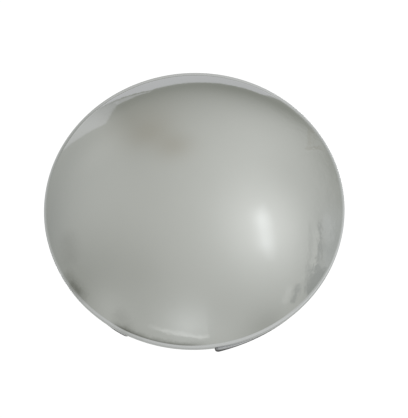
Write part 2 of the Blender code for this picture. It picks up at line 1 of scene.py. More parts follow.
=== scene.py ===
"""Looks of a round convex traffic mirror: fine meshes, materials, a plain studio and the camera.

Lengths are in metres, in the frame of the CAD model. The mirror faces -Y, +Z is up, and the wall plate's back
lies at y = 0.
"""

import json
import math

import bmesh
import bpy
from mathutils import Matrix, Vector, noise


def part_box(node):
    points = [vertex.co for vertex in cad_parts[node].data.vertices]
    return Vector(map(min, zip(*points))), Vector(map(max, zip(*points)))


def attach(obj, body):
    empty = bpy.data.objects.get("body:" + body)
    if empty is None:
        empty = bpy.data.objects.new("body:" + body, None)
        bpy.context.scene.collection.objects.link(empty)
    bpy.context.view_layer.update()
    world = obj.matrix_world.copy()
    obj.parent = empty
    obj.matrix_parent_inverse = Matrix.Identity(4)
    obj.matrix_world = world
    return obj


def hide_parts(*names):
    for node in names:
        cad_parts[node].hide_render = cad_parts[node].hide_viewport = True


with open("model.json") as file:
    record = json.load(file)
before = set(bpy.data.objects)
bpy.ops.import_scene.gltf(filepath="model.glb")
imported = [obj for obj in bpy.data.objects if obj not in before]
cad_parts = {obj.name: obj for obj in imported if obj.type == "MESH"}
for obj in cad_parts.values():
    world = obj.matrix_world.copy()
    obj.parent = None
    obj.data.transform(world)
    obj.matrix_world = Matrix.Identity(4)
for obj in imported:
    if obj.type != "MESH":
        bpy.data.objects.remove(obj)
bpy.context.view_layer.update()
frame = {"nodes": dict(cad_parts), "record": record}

MM = 0.001
WALL, ARM, HEAD = "wall_bracket", "arm", "mirror_head"  # the bodies

# Mirror face, as in the CAD model
FACE_RADIUS = 300 * MM
DOME_EDGE = 294 * MM
FACE_SHEET = 1 * MM
SKIRT_DEPTH = 10 * MM
LIP_WIDTH = 16 * MM
FACE_BEND = 2 * MM
LIP_BEND = 1.05 * MM
EDGE_EASE = 0.3 * MM
DOME_CREASE = 0.2 * MM  # fillet where the dome meets the flange
DOME_STEPS = 72
WAVE_HEIGHT = 0.16 * MM  # how uneven the pressed sheet is
WAVE_LENGTH = 150 * MM

# Edge seal. Angles are from straight down, positive towards +X. An end stands out less with the angle from it
SEAL_RADIUS = 298 * MM
SEAL_WIDTH = 16.5 * MM
SEAL_RIGHT_END = {"angle": math.radians(8.4), "stand_out": 8.4 * MM, "reach": math.radians(14), "power": 1.1}
SEAL_LEFT_END = {"angle": math.radians(-24), "stand_out": 3.2 * MM, "reach": math.radians(8.5), "power": 3}
SEAL_TIP = 8 * MM  # over which an end is rounded off
SEAL_CORNER = 1.9 * MM
SEAL_GROOVE = 0.7 * MM

# Back pan
PAN_SHEET = 1.2 * MM
PAN_FLANGE_INNER = 282 * MM
PAN_STEP = (252 * MM, 276 * MM)
PAN_STEP_HEIGHT = 12 * MM
PAN_FLOOR = 236 * MM
BREATHER_CIRCLE = 264 * MM
BREATHER_RADIUS = 4 * MM
BREATHER_ANGLES = (-16, -8, 0)  # degrees from straight down

# Rails, brackets and arm
RAIL_CROWN = 32 * MM
RAIL_SHEET = 2 * MM
EAR_INNER = 27.1 * MM
EAR_PLATE = 4 * MM
EAR_HALF_WIDTH = 30 * MM
ARM_WALL = 4 * MM
WALL_PLATE = 5 * MM
TUBE_BENDS = (5 * MM, 2 * MM)  # outside and inside radius
PLATE_EASE = 0.5 * MM
PLUG_EASE = 0.9 * MM
WELD_SIZE = 2.6 * MM
WELD_STEP = 0.45 * MM

# Bolts and nuts by thread: shank radius, width across flats, head height and pitch
THREADS = {
    "M8": {"radius": 4 * MM, "flats": 13 * MM, "head": 5.3 * MM, "pitch": 1.25 * MM},
    "M10": {"radius": 5 * MM, "flats": 16 * MM, "head": 6.4 * MM, "pitch": 1.5 * MM},
    "M12": {"radius": 6 * MM, "flats": 18 * MM, "head": 7.5 * MM, "pitch": 1.75 * MM},
}
RIM_SCREW = {"shank": 2.4 * MM, "flats": 8 * MM, "collar": 5.2 * MM}
HOLE_CLEARANCE = 0.5 * MM
JOINT_AXES = {"tilt": "X", "swing": "Z"}
CROSS_BOLTS = {"pivot": "M12", "lock": "M10"}

HEAD_SEGMENTS = 256
HEX_SEGMENTS = 48
WASHER_SEGMENTS = 64
SMALL_SEGMENTS = 32  # holes and rivets


# ---- node trees


class Graph:
    """Adds nodes to a tree. A method that adds one returns its output socket."""

    def __init__(self, tree):
        self.tree = tree

    def feed(self, socket, value):
        if isinstance(value, bpy.types.NodeSocket):
            self.tree.links.new(value, socket)
        else:
            socket.default_value = value

    def node(self, kind, inputs=None, output=0, **settings):
        made = self.tree.nodes.new(f"ShaderNode{kind}")
        for name, value in settings.items():
            setattr(made, name, value)
        for name, value in (inputs or {}).items():
            self.feed(made.inputs[name], value)
        return made.outputs[output]

    def math(self, operation, *values):
        return self.node("Math", dict(enumerate(values)), operation=operation)

    def plus(self, first, second):
        return self.math("ADD", first, second)

    def times(self, first, second):
        return self.math("MULTIPLY", first, second)

    def vector(self, operation, *values, scale=None, output=0):
        inputs = dict(enumerate(values))
        if scale is not None:
            inputs["Scale"] = scale
        return self.node("VectorMath", inputs, output, operation=operation)

    def dot(self, socket, direction):
        return self.vector("DOT_PRODUCT", socket, tuple(direction), output="Value")

    def ramp(self, value, low, high, out_low=0.0, out_high=1.0, course="SMOOTHSTEP"):
        """The value brought smoothly from low..high to out_low..out_high."""
        inputs = {"Value": value, "From Min": low, "From Max": high, "To Min": out_low, "To Max": out_high}
        return self.node("MapRange", inputs, interpolation_type=course)

    def stretch(self, value, low, high, out_low, out_high):
        """The same in a straight line."""
        return self.ramp(value, low, high, out_low, out_high, "LINEAR")

    def colour(self, factor, first, second):
        """The first colour where the factor is 0, the second where it is 1."""
        made = self.tree.nodes.new("ShaderNodeMix")
        made.data_type = "RGBA"
        sockets = {socket.identifier: socket for socket in [*made.inputs, *made.outputs]}
        self.feed(sockets["Factor_Float"], factor)
        self.feed(sockets["A_Color"], first)
        self.feed(sockets["B_Color"], second)
        return sockets["Result_Color"]

    def place(self, scale=(1, 1, 1)):
        """The point on the piece, in metres in the model's frame, stretched by the scale."""
        point = self.node("TexCoord", output="Object")
        return self.node("Mapping", {"Vector": point, "Scale": scale})

    def noise(self, scale, detail=2.0, stretch=(1, 1, 1), roughness=0.5):
        inputs = {"Vector": self.place(stretch), "Scale": scale, "Detail": detail, "Roughness": roughness}
        return self.node("TexNoise", inputs, output="Fac")

    def bump(self, height, strength, distance):
        return self.node("Bump", {"Height": height, "Strength": strength, "Distance": distance})

    def finish(self, colour, roughness, normal=None):
        """Feeds a material's shader."""
        inputs = self.tree.nodes["Principled BSDF"].inputs
        self.feed(inputs["Base Color"], colour)
        self.feed(inputs["Roughness"], roughness)
        if normal is not None:
            self.feed(inputs["Normal"], normal)


MATERIALS = {}


def new_material(name, metallic, **fixed):
    """Adds a Principled material and returns its graph. The fixed values are the same all over it."""
    made = bpy.data.materials.new(name)
    made.use_nodes = True
    shader = made.node_tree.nodes["Principled BSDF"]
    shader.inputs["Metallic"].default_value = metallic
    for socket, value in fixed.items():
        shader.inputs[socket.replace("_", " ")].default_value = value
    MATERIALS[name] = made
    return Graph(made.node_tree)


STEEL = ((0.605, 0.61, 0.605, 1), (0.635, 0.64, 0.635, 1))
FLANGE_STEEL = (0.66, 0.665, 0.69, 1)
# painted shade on the flange at the left and right
FLANGE_SIDE_SHADE = (0.46, 0.47, 0.47, 1)
# painted highlight on the bend at the top of the dome
TOP_BEND_HIGHLIGHT = (0.80, 0.805, 0.81, 1)
# grey for the painted shade in the crease and for the darker patches
SHADE_AND_PATCH_GREY = (0.17, 0.172, 0.15, 1)
ZINC_CRYSTALS = ((0.44, 0.46, 0.475, 1), (0.60, 0.62, 0.63, 1))
ZINC_CAST = ((0.66, 0.675, 0.70, 1), (0.70, 0.675, 0.60, 1))
# painted light on the seal's front, over the black rubber
LIT_FRONT_GREY = (0.86, 0.86, 0.90, 1)
NYLON = ((0.76, 0.74, 0.68, 1), (0.50, 0.47, 0.40, 1))  # clean and grubby
# The painted shade in the crease fades in over the first two angles and out over the others
CREASE_SHADE_ANGLES = ((math.radians(-33), math.radians(-27)), (math.radians(-4), math.radians(9)))
DARK_PATCHES = [  # darker patches on the dome: from (x, z), to (x, z), reach, strength
    ((-0.243, -0.160), (-0.213, -0.198), 20 * MM, 0.29),
    ((-0.234, -0.175), (-0.221, -0.189), 13 * MM, 0.33),
    ((-0.244, -0.092), (-0.238, -0.122), 30 * MM, 0.13),
    ((-0.138, -0.244), (-0.126, -0.262), 26 * MM, 0.17),
    ((-0.126, -0.262), (-0.096, -0.276), 14 * MM, 0.11),
]


def grey(level, warmth=0.0):
    return (level * (1 + warmth), level, level * (1 - warmth), 1.0)


def face_place(graph):
    """A point as seen along the mirror's axis: radius, across, up, and its angle from straight down."""
    place = graph.place()
    radius = graph.vector("LENGTH", graph.place((1, 0, 1)), output="Value")
    across, up = (graph.dot(place, axis) for axis in ((1, 0, 0), (0, 0, 1)))
    return radius, across, up, graph.math("ARCTAN2", across, graph.times(up, -1.0))


def off_segment(graph, start, end):
    """How far a point of the face is from a straight segment, as seen along the mirror's axis."""
    start, end = Vector((start[0], 0, start[1])), Vector((end[0], 0, end[1]))
    along = end - start
    out = graph.vector("SUBTRACT", graph.place((1, 0, 1)), tuple(start))
    share = graph.stretch(graph.dot(out, along), 0.0, along.length_squared, 0.0, 1.0)
    nearest = graph.vector("SCALE", tuple(along), scale=share)
    return graph.vector("DISTANCE", out, nearest, output="Value")


def crease_shade_and_patches(graph, radius, from_down, ragged):
    """How dark the painted shade in the crease at the lower left is, and the darker patches on the dome."""
    # painted shade in the crease between dome and flange, darkest at the dome's edge and fading inwards
    reach = graph.stretch(ragged, 0.3, 0.7, 5 * MM, 11 * MM)
    inside = graph.math("DIVIDE", graph.math("SUBTRACT", DOME_EDGE, radius), reach)
    crease_shade = graph.ramp(inside, 0.0, 1.0, 0.42, 0.0)
    crease_shade = graph.plus(crease_shade, graph.ramp(inside, 0.0, 0.35, 0.22, 0.0))
    shade_and_patches = graph.times(crease_shade, graph.ramp(radius, DOME_EDGE, DOME_EDGE + 1 * MM, 1.0, 0.0))
    shade_and_patches = graph.times(shade_and_patches, graph.ramp(from_down, *CREASE_SHADE_ANGLES[0]))
    shade_and_patches = graph.times(shade_and_patches, graph.ramp(from_down, *CREASE_SHADE_ANGLES[1], 1.0, 0.0))
    # darker patches on the dome at the lower left
    for start, end, reach, strength in DARK_PATCHES:
        wobble = graph.stretch(ragged, 0.3, 0.7, -0.15 * reach, 0.15 * reach)
        gap = graph.plus(off_segment(graph, start, end), wobble)
        shade_and_patches = graph.plus(shade_and_patches, graph.ramp(gap, -0.15 * reach, reach, strength, 0.0))
    return shade_and_patches


def polished_stainless():
    """Mirror-polished sheet: haze from wiping, ripples near the rim, a painted highlight on the bend at the
    top, painted shade on the flange's sides and in the crease, and darker patches.
    """
    graph = new_material("polished_stainless", 1.0)
    radius, across, up, from_down = face_place(graph)
    haze = graph.noise(7, 4, roughness=0.6)
    wiping = graph.noise(30, 3, stretch=(1, 1, 0.25))
    # painted shade in the crease, and the darker patches
    shade_and_patches = crease_shade_and_patches(graph, radius, from_down, graph.noise(170, 4, roughness=0.7))

    bend = graph.ramp(radius, DOME_EDGE - 5 * MM, DOME_EDGE - 2 * MM)
    steel = graph.colour(haze, *STEEL)
    # painted highlight: the bend near the dome's edge is lighter at the top only
    steel = graph.colour(graph.times(bend, graph.ramp(up, 0.12, 0.26)), steel, TOP_BEND_HIGHLIGHT)
    # painted shade: the inner part of the flange is darker at the left and right sides
    beside = graph.ramp(graph.math("ABSOLUTE", graph.math("SINE", from_down)), 0.55, 0.9)
    inner = graph.ramp(radius, DOME_EDGE + 1 * MM, FACE_RADIUS - 1 * MM, 1.0, 0.0)
    shaded_flange = graph.colour(graph.times(beside, inner), FLANGE_STEEL, FLANGE_SIDE_SHADE)
    flange = graph.ramp(radius, DOME_EDGE - 0.5 * MM, DOME_EDGE)
    # the crease's painted shade and the darker patches go over the steel
    colour = graph.colour(shade_and_patches, graph.colour(flange, steel, shaded_flange), SHADE_AND_PATCH_GREY)

    polish = graph.ramp(graph.times(haze, wiping), 0.12, 0.42, 0.03, 0.075)
    polish = graph.plus(polish, graph.times(flange, 0.15))
    polish = graph.plus(polish, graph.times(shade_and_patches, 0.3))
    ripples = graph.times(graph.noise(55, 2), graph.ramp(across, 0.15, 0.27, 0.3, 1.0))
    ripples = graph.times(ripples, graph.ramp(radius, 0.18, 0.285))
    graph.finish(colour, polish, graph.bump(ripples, 1.0, 0.4 * MM))


def satin_stainless():
    """Brushed sheet for the back pan: level grain, duller patches and faint upright runs."""
    graph = new_material("satin_stainless", 1.0)
    grain = graph.noise(1, 3, stretch=(14, 300, 1500), roughness=0.7)
    fine = graph.noise(1, 2, stretch=(60, 900, 5200))
    patches = graph.noise(5, 4, roughness=0.55)
    runs = graph.noise(1, 3, stretch=(45, 45, 2.2))
    brushed = graph.plus(graph.times(grain, 0.6), graph.times(fine, 0.4))
    steel = graph.colour(brushed, grey(0.47, 0.01), grey(0.60, 0.01))
    stained = graph.colour(graph.ramp(runs, 0.52, 0.74, 0.0, 0.35), steel, grey(0.36, 0.05))
    roughness = graph.stretch(brushed, 0.3, 0.7, 0.27, 0.40)
    roughness = graph.plus(roughness, graph.ramp(patches, 0.35, 0.7, 0.0, 0.08))
    graph.finish(stained, roughness, graph.bump(brushed, 0.12, 0.06 * MM))


def galvanised_steel():
    """Hot-dip zinc: flat crystals of differing shine, white bloom in patches."""
    graph = new_material("galvanised_steel", 1.0)
    warp = {"Vector": graph.place(), "Scale": 160, "Detail": 2}
    warp = graph.node("TexNoise", warp, output="Color")
    bent = graph.vector("ADD", graph.place((170, 170, 170)), graph.vector("SCALE", warp, scale=1.3))
    cells = {"Vector": bent, "Scale": 1.0}
    crystal = graph.dot(graph.node("TexVoronoi", cells, output="Color"), (0.4, 0.35, 0.25))
    edge = graph.node("TexVoronoi", cells, feature="DISTANCE_TO_EDGE")
    feather = graph.noise(900, 2)
    bloom = graph.ramp(graph.noise(22, 4, roughness=0.65), 0.48, 0.72)
    tone = graph.plus(crystal, graph.times(feather, 0.25))
    zinc = graph.colour(graph.ramp(tone, 0.25, 0.95), *ZINC_CRYSTALS)
    zinc = graph.colour(graph.times(bloom, 0.45), zinc, grey(0.66))
    shine = graph.stretch(tone, 0.2, 1.0, 0.30, 0.52)
    shine = graph.plus(shine, graph.times(bloom, 0.16))
    relief = graph.plus(graph.ramp(edge, 0.0, 0.12), graph.times(feather, 0.3))
    graph.finish(zinc, shine, graph.bump(relief, 0.10, 0.08 * MM))


def zinc_plate():
    """Bright zinc on bolts and nuts, with a faint yellow and blue cast and handling marks."""
    graph = new_material("zinc_plate", 1.0)
    cast = graph.noise(60, 3)
    marks = graph.noise(420, 4, roughness=0.7)
    bright = graph.colour(graph.ramp(cast, 0.35, 0.65), *ZINC_CAST)
    worn = graph.colour(graph.ramp(marks, 0.55, 0.75, 0.0, 0.5), bright, grey(0.45, 0.02))
    roughness = graph.stretch(marks, 0.3, 0.7, 0.20, 0.38)
    graph.finish(worn, roughness, graph.bump(marks, 0.06, 0.05 * MM))


def black_rubber():
    """Matt rubber with a fine skin. The faces turned forward are painted grey as painted light, which fades
    to painted shade towards its outer edge and its tip.
    """
    graph = new_material("black_rubber", 0.0, Specular_IOR_Level=0.35)
    facing = graph.node("TexCoord", output="Normal")
    radius, _, _, from_down = face_place(graph)
    tip = SEAL_RIGHT_END["angle"]
    dust = graph.noise(35, 5, roughness=0.65)
    # painted light: faces turned forward are grey, fading to painted shade at the outer edge and the tip
    lit_front = graph.ramp(graph.dot(facing, (0, -1, 0)), 0.2, 1.0)
    for share in (
        graph.ramp(radius, FACE_RADIUS + 1 * MM, FACE_RADIUS + 5 * MM, 1.0, 0.2),
        graph.ramp(graph.math("ABSOLUTE", from_down), tip, tip + math.radians(2), 0.4, 1.0),
        graph.stretch(dust, 0.2, 0.8, 0.8, 1.0),
    ):
        lit_front = graph.times(lit_front, share)
    rubber = graph.colour(graph.ramp(dust, 0.45, 0.8), grey(0.02), grey(0.06, 0.04))
    skin = graph.bump(graph.noise(2600, 2), 0.25, 0.1 * MM)
    roughness = graph.stretch(dust, 0.3, 0.7, 0.62, 0.82)
    graph.finish(graph.colour(lit_front, rubber, LIT_FRONT_GREY), roughness, skin)


def black_plastic():
    """Moulded plastic with a fine pebbled grain."""
    graph = new_material("black_plastic", 0.0)
    grain = {"Vector": graph.place(), "Scale": 1400}
    pebbles = graph.node("TexVoronoi", grain, feature="SMOOTH_F1")
    scuffs = graph.noise(150, 4, stretch=(1, 1, 4), roughness=0.7)
    colour = graph.colour(graph.ramp(scuffs, 0.55, 0.8), grey(0.022), grey(0.06))
    roughness = graph.stretch(scuffs, 0.3, 0.7, 0.40, 0.58)
    graph.finish(colour, roughness, graph.bump(pebbles, 0.3, 0.12 * MM))


def white_nylon():
    """Natural nylon, grubby in patches."""
    graph = new_material("white_nylon", 0.0, Subsurface_Weight=0.12)
    grubby = graph.noise(90, 4, roughness=0.6)
    colour = graph.colour(graph.ramp(grubby, 0.5, 0.8), *NYLON)
    graph.finish(colour, graph.stretch(grubby, 0.3, 0.7, 0.32, 0.5))


polished_stainless()
satin_stainless()
galvanised_steel()
zinc_plate()
black_rubber()
black_plastic()
white_nylon()


# ---- shapes


def arc(centre, radius, start, end, steps):
    """Points on a circle in a plane, both ends included."""
    turns = [start + (end - start) * i / steps for i in range(steps + 1)]
    return [(centre[0] + radius * math.cos(turn), centre[1] + radius * math.sin(turn)) for turn in turns]


def filleted(points, closed=False, steps=5):
    """A polyline of (a, b, fillet radius) with its corners rounded, as (a, b) points."""
    count = len(points)
    outline = []
    for i, (a, b, radius) in enumerate(points):
        if radius == 0 or (not closed and i in (0, count - 1)):
            outline.append((a, b))
            continue
        corner = Vector((a, b))
        before = (Vector(points[i - 1][:2]) - corner).normalized()
        after = (Vector(points[(i + 1) % count][:2]) - corner).normalized()
        half = before.angle(after) / 2
        centre = corner + (before + after).normalized() * radius / math.sin(half)
        run = radius / math.tan(half)
        start, end = corner + before * run - centre, corner + after * run - centre
        turn = start.angle(end)
        for k in range(steps + 1):
            share = k / steps
            blend = start * math.sin((1 - share) * turn) + end * math.sin(share * turn)
            outline.append(tuple(centre + blend / math.sin(turn)))
    return outline


def rounded_square(side, radius):
    """An outline centred on the origin, with rounded corners."""
    reach = side / 2 - radius
    corners = ((reach, reach), (-reach, reach), (-reach, -reach), (reach, -reach))
    outline = []
    for i, corner in enumerate(corners):
        outline += arc(corner, radius, i * math.pi / 2, (i + 1) * math.pi / 2, steps=8)
    return outline


def down(angle):
    """The (x, z) direction at an angle from straight down, positive towards +X."""
    return math.sin(angle), -math.cos(angle)


def loft(bm, rings, closed=False):
    """Joins rings of points by quads. An open loft's two ends are closed by one face each."""
    made = [[bm.verts.new(point) for point in ring] for ring in rings]
    pairs = list(zip(made, made[1:]))
    if closed:
        pairs.append((made[-1], made[0]))
    for ring, following in pairs:
        for i in range(len(ring)):
            j = (i + 1) % len(ring)
            bm.faces.new((ring[i], ring[j], following[j], following[i]))
    if not closed:
        bm.faces.new(made[0])
        bm.faces.new(made[-1][::-1])


def turned(bm, profile, segments, closed=False):
    """A solid turned about the Y axis from (radius, y) points. Closed is for a profile off the axis."""
    turns = [2 * math.pi * i / segments for i in range(segments)]
    rings = [[(radius * math.cos(t), y, radius * math.sin(t)) for t in turns] for radius, y in profile]
    loft(bm, rings, closed)
    bmesh.ops.remove_doubles(bm, verts=bm.verts, dist=1e-7)
    bmesh.ops.dissolve_degenerate(bm, edges=bm.edges, dist=1e-8)


def prism(bm, outline, low, high, axis, hole=None):
    """An outline extruded along an axis. Its coordinates are the other two axes in X, Y, Z order."""
    place = {
        "X": lambda a, b, depth: (depth, a, b),
        "Y": lambda a, b, depth: (a, depth, b),
        "Z": lambda a, b, depth: (a, b, depth),
    }[axis]
    faces = [(outline, low), (outline, high)]
    if hole:
        faces += [(hole, high), (hole, low)]
    loft(bm, [[place(a, b, depth) for a, b in ring] for ring, depth in faces], closed=bool(hole))


def in_scene(name, data):
    made = bpy.data.objects.new(name, data)
    bpy.context.scene.collection.objects.link(made)
    return made


def object_from(name, bm):
    bmesh.ops.recalc_face_normals(bm, faces=bm.faces)
    mesh = bpy.data.meshes.new(name)
    bm.to_mesh(mesh)
    bm.free()
    return in_scene(name, mesh)


def cut_holes(part, cutters):
    """Cuts the cutters' shapes out of the part and removes the cutters."""
    for cutter in cutters:
        modifier = part.modifiers.new("cut", "BOOLEAN")
        modifier.operation = "DIFFERENCE"
        modifier.object = cutter
    bpy.context.view_layer.update()
    graph = bpy.context.evaluated_depsgraph_get()
    mesh = bpy.data.meshes.new_from_object(part.evaluated_get(graph))
    part.modifiers.clear()
    part.data = mesh
    for cutter in cutters:
        bpy.data.objects.remove(cutter)


def hole_cutter(radius, low, high, axis, at):
    bm = bmesh.new()
    prism(bm, arc(at, radius, 0, 2 * math.pi, SMALL_SEGMENTS)[:-1], low, high, axis)
    return object_from("cutter", bm)


def bevel_sharp(bm, width):
    """Rounds every edge that turns by more than 30 degrees."""
    sharp = [edge for edge in bm.edges if edge.is_manifold and edge.calc_face_angle() > math.radians(30)]
    bmesh.ops.bevel(bm, geom=sharp, offset=width, segments=2, profile=0.5, affect="EDGES", clamp_overlap=True)


def body_of(node):
    bodies = frame["record"]["behaviour"]["bodies"]
    return next(body for body, nodes in bodies.items() if node in nodes)


def piece(made, body, slot, *nodes, sharp):
    """Finishes an object: shading, material, the body it moves with and the CAD nodes it stands for."""
    made.data.shade_smooth()
    made.data.set_sharp_from_angle(angle=math.radians(sharp))
    made.data.materials.append(MATERIALS[slot])
    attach(made, body)
    if nodes:
        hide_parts(*nodes)


# ---- mirror face, seal and back pan


def cap(radius, centre, reach):
    """(radius, y) points on a sphere from its front towards an angle, which isn't included."""
    turns = [reach * i / DOME_STEPS for i in range(DOME_STEPS)]
    return [(radius * math.sin(turn), centre - radius * math.cos(turn)) for turn in turns]


def mirror_face():
    """Dome, flange, skirt and lip as one sheet with rounded bends, very slightly uneven."""
    low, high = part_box("mirror_face")
    outer, apex, back = high.x, low.y, high.y
    plane = back - SKIRT_DEPTH
    depth = plane - apex
    sphere = (depth**2 + DOME_EDGE**2) / (2 * depth)
    centre = apex + sphere
    slope = math.asin(DOME_EDGE / sphere)
    # the crease's fillet touches the dome a little inside the edge, and one more ring is close to it
    crease_run = DOME_CREASE * math.tan(slope / 2)
    touch = math.asin((DOME_EDGE - crease_run * math.cos(slope)) / sphere)
    close = touch * 0.998
    inner = sphere - FACE_SHEET
    inside = cap(inner, centre, slope)
    corners = [
        (sphere * math.sin(close), centre - sphere * math.cos(close), 0),
        (DOME_EDGE, plane, DOME_CREASE),
        (outer, plane, FACE_BEND),
        (outer, back, LIP_BEND),
        (outer - LIP_WIDTH, back, EDGE_EASE),
        (outer - LIP_WIDTH, back - FACE_SHEET, EDGE_EASE),
        (outer - FACE_SHEET, back - FACE_SHEET, LIP_BEND - FACE_SHEET),
        (outer - FACE_SHEET, plane + FACE_SHEET, FACE_BEND - FACE_SHEET),
        (DOME_EDGE + 0.35 * MM, plane + FACE_SHEET, 0.5 * MM),
        (*inside[-1], 0),
    ]
    profile = cap(sphere, centre, touch) + filleted(corners) + inside[-2::-1]
    bm = bmesh.new()
    turned(bm, profile, HEAD_SEGMENTS)
    for vert in bm.verts:
        across = math.hypot(vert.co.x, vert.co.z)
        if across < DOME_EDGE and vert.co.y < plane:
            fade = math.sin(math.pi * across / DOME_EDGE) ** 0.5 if across > 0 else 0
            spot = Vector((vert.co.x, 0, vert.co.z)) / WAVE_LENGTH
            vert.co.y += WAVE_HEIGHT * fade * noise.noise(spot)
    piece(object_from("mirror_face_sheet", bm), HEAD, "polished_stainless", "mirror_face", sharp=50)


def seal_path():
    """(point, outward direction, share of the full section) along the strip's outer edge, end to end."""
    first, last = SEAL_RIGHT_END["angle"], SEAL_LEFT_END["angle"] + 2 * math.pi
    tip = SEAL_TIP / SEAL_RADIUS
    tip_steps, run_steps = 8, 280
    shares = [1 - math.cos(math.pi / 2 * i / tip_steps) for i in range(tip_steps)]
    angles = [first + tip * share for share in shares]
    angles += [first + tip + (last - first - 2 * tip) * i / run_steps for i in range(run_steps + 1)]
    angles += [last - tip * share for share in reversed(shares)]
    path = []
    for angle in angles:
        radius = SEAL_RADIUS
        for end, away in ((SEAL_RIGHT_END, angle - first), (SEAL_LEFT_END, last - angle)):
            radius += end["stand_out"] * math.exp(-((max(away, 0) / end["reach"]) ** end["power"]))
        across, up = down(angle)
        left = min(1.0, (angle - first) / tip, (last - angle) / tip)
        full = math.sqrt(max(0.0, 1 - (1 - left) ** 2))
        path.append((Vector((radius * across, radius * up)), (across, up), full))
    return path


def edge_seal():
    """Rubber strip with rounded corners and a shallow groove round its outside."""
    low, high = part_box("edge_seal")
    middle, half = (low.y + high.y) / 2, (high.y - low.y) / 2
    corners = [
        (0, -half, SEAL_CORNER),
        (0, -0.5 * MM, 0.2 * MM),
        (-SEAL_GROOVE, 0, 0.3 * MM),
        (0, 0.5 * MM, 0.2 * MM),
        (0, half, SEAL_CORNER),
        (-SEAL_WIDTH, half, SEAL_CORNER),
        (-SEAL_WIDTH, -half, SEAL_CORNER),
    ]
    section = filleted(corners, closed=True)
    rings = []
    for spot, (across, up), scale in seal_path():
        ring = []
        for inset, offset in section:
            if scale < 1:
                inset = -SEAL_WIDTH / 2 + (inset + SEAL_WIDTH / 2) * (0.3 + 0.7 * scale)
                offset *= 0.5 + 0.5 * scale
            ring.append((spot.x + across * inset, middle + offset, spot.y + up * inset))
        rings.append(ring)
    bm = bmesh.new()
    loft(bm, rings)
    piece(object_from("edge_seal_strip", bm), HEAD, "black_rubber", "edge_seal", sharp=40)


def back_pan():
    """Pressed pan with rounded bends and breather holes."""
    low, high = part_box("back_pan")
    flange = low.y
    floor = high.y - PAN_SHEET - flange
    bevel = 1.5 * MM
    bend = 3.5 * MM
    rise = [
        (0, floor, 0),
        (PAN_FLOOR - 1.4 * bevel, floor, 2 * bend),
        (PAN_STEP[0] - bevel, PAN_STEP_HEIGHT, bend),
        (PAN_STEP[1] - 0.5 * bevel, PAN_STEP_HEIGHT, bend),
        (PAN_FLANGE_INNER - bevel, 0, 1.5 * MM),
        (high.x, 0, 0),
    ]
    sheet = filleted(rise, steps=6)
    back = [(radius, flange + height + PAN_SHEET) for radius, height in sheet]
    front = [(radius, flange + height) for radius, height in sheet]
    bm = bmesh.new()
    turned(bm, back + front[::-1], HEAD_SEGMENTS)
    made = object_from("back_pan_shell", bm)
    cutters = []
    for angle in BREATHER_ANGLES:
        across, up = down(math.radians(angle))
        at = (BREATHER_CIRCLE * across, BREATHER_CIRCLE * up)
        cutters.append(hole_cutter(BREATHER_RADIUS, low.y - 5 * MM, high.y + 5 * MM, "Y", at))
    cut_holes(made, cutters)
    piece(made, HEAD, "satin_stainless", "back_pan", sharp=30)


# ---- rails and brackets


def rails():
    """Hat sections with rounded bends and eased ends."""
    for node in ("rail_left", "rail_right"):
        low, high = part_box(node)
        middle = (low.x + high.x) / 2
        half, reach = RAIL_CROWN / 2, (high.x - low.x) / 2
        t, front, back, slope = RAIL_SHEET, low.y, high.y, 1.2 * MM
        one_side = [
            (reach, front, EDGE_EASE),
            (reach, front + t, EDGE_EASE),
            (half + slope, front + t, t),
            (half, back, 1.8 * t),
        ]
        under = [
            (half - t, back - t, 0.8 * t),
            (half - t + slope, front, 2 * t),
        ]
        outer = one_side + [(-a, b, radius) for a, b, radius in one_side[::-1]]
        inner = [(-a, b, radius) for a, b, radius in under[::-1]] + under
        outline = [(a + middle, b) for a, b in filleted(outer + inner, closed=True)]
        bm = bmesh.new()
        prism(bm, outline, low.z, high.z, "Z")
        piece(object_from(f"{node}_section", bm), HEAD, "galvanised_steel", node, sharp=30)


def from_cad(name, node, slot, width):
    """The CAD node's own shape with its sharp edges rounded."""
    bm = bmesh.new()
    bm.from_mesh(frame["nodes"][node].data)
    bmesh.ops.remove_doubles(bm, verts=bm.verts, dist=1e-6)
    bmesh.ops.dissolve_limit(bm, angle_limit=math.radians(0.5), verts=bm.verts, edges=bm.edges)
    bevel_sharp(bm, width)
    piece(object_from(name, bm), body_of(node), slot, node, sharp=40)


def weld_bead(bm, start, end, into):
    """A rippled fillet along a line. into is the pair of directions in which it lies against the metal."""
    length = (end - start).length
    along = (end - start) / length
    count = int(length / WELD_STEP)
    sides = 12
    seed = start * 37
    rings = []
    for i in range(count + 1):
        share = i / count
        taper = math.sqrt(max(0.0, 1 - (2 * share - 1) ** 12))
        ripple = 0.10 * abs(math.sin(math.pi * i / 5)) + 0.08 * noise.noise(seed + along * i * 0.3)
        reach = WELD_SIZE * (0.88 + ripple) * max(taper, 0.25)
        spot = start + along * length * share
        ring = []
        for k in range(sides):
            turn = 2 * math.pi * k / sides
            away = into[0] * -math.cos(turn) + into[1] * -math.sin(turn)
            bulge = 1.0 if k < 4 else 0.35
            lag = along * (0.3 * WELD_SIZE * math.sin(turn) ** 2)
            ring.append(spot + away * reach * bulge + lag)
        rings.append(ring)
    loft(bm, rings)


